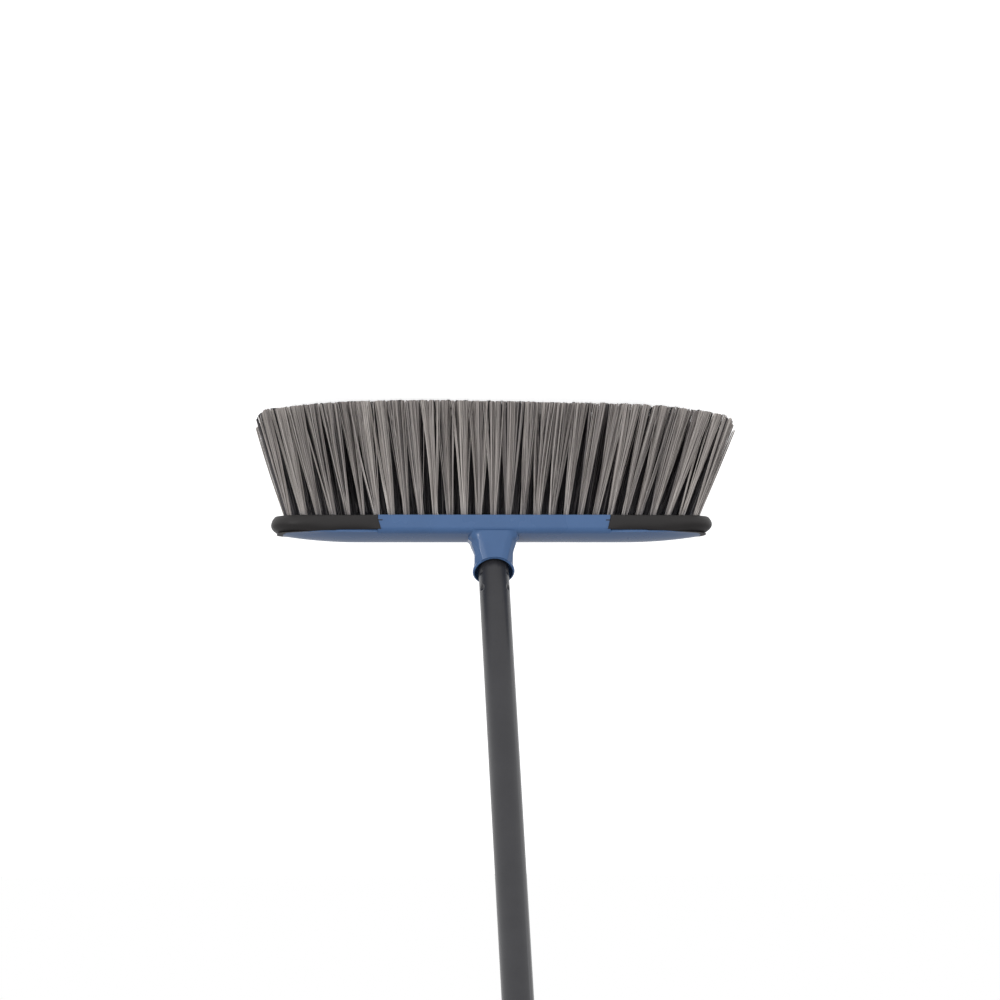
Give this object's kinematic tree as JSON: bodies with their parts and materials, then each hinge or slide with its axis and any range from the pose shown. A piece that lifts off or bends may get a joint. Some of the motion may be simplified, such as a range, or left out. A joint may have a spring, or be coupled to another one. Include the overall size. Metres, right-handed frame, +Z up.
{
  "type": "floor broom",
  "caption": "Household floor broom: long head with flared bristles, soft end bumpers and an angled neck, on a screw-in tubular steel handle with a hanging loop.",
  "frame": {"origin": "centre of the sweeping face, at the tip of the middle tuft of the middle row", "axes": "+X along the head, +Y to the back, +Z up from the floor; the handle leans 33 degrees from +Z towards -Y"},
  "size_m": [0.3558, 0.7332, 1.1616],
  "materials": {
    "blue_block": "moulded polypropylene, satin",
    "soft_bumper": "soft matt overmoulding",
    "light_bristle": "fine grey-beige plastic filaments",
    "dark_bristle": "fine charcoal plastic filaments",
    "anchor_wire": "drawn flat wire",
    "coated_tube": "satin plastic-coated steel",
    "black_plastic": "moulded polypropylene, satin"
  },
  "bodies": {
    "loop": {"hang_loop": "black_plastic"},
    "handle": {"handle_tube": "coated_tube", "thread_insert": "black_plastic", "end_plug": "black_plastic"},
    "head": {"brush_block": "blue_block", "left_bumper": "soft_bumper", "right_bumper": "soft_bumper", "tufts_front": "light_bristle", "tufts_front_inner": "dark_bristle", "tufts_middle": "dark_bristle", "tufts_back_inner": "dark_bristle", "tufts_back": "light_bristle", "anchors_front": "anchor_wire", "anchors_front_inner": "anchor_wire", "anchors_middle": "anchor_wire", "anchors_back_inner": "anchor_wire", "anchors_back": "anchor_wire"}
  },
  "joints": [
    {"name": "handle_turn", "type": "hinge", "parent": "loop", "child": "handle", "pos_m": [0, 0.002, 0.097], "axis": [0, -0.5446, 0.8387], "range_deg": [0, 1441]},
    {"name": "head_unscrew", "type": "slide", "parent": "loop", "child": "head", "axis": [0, 0.5446, -0.8387], "range_m": [0, 0.02]}
  ],
  "couplings": [
    {"joint": "handle_turn", "follows": "head_unscrew", "rad_per_m": 1256.6}
  ]
}
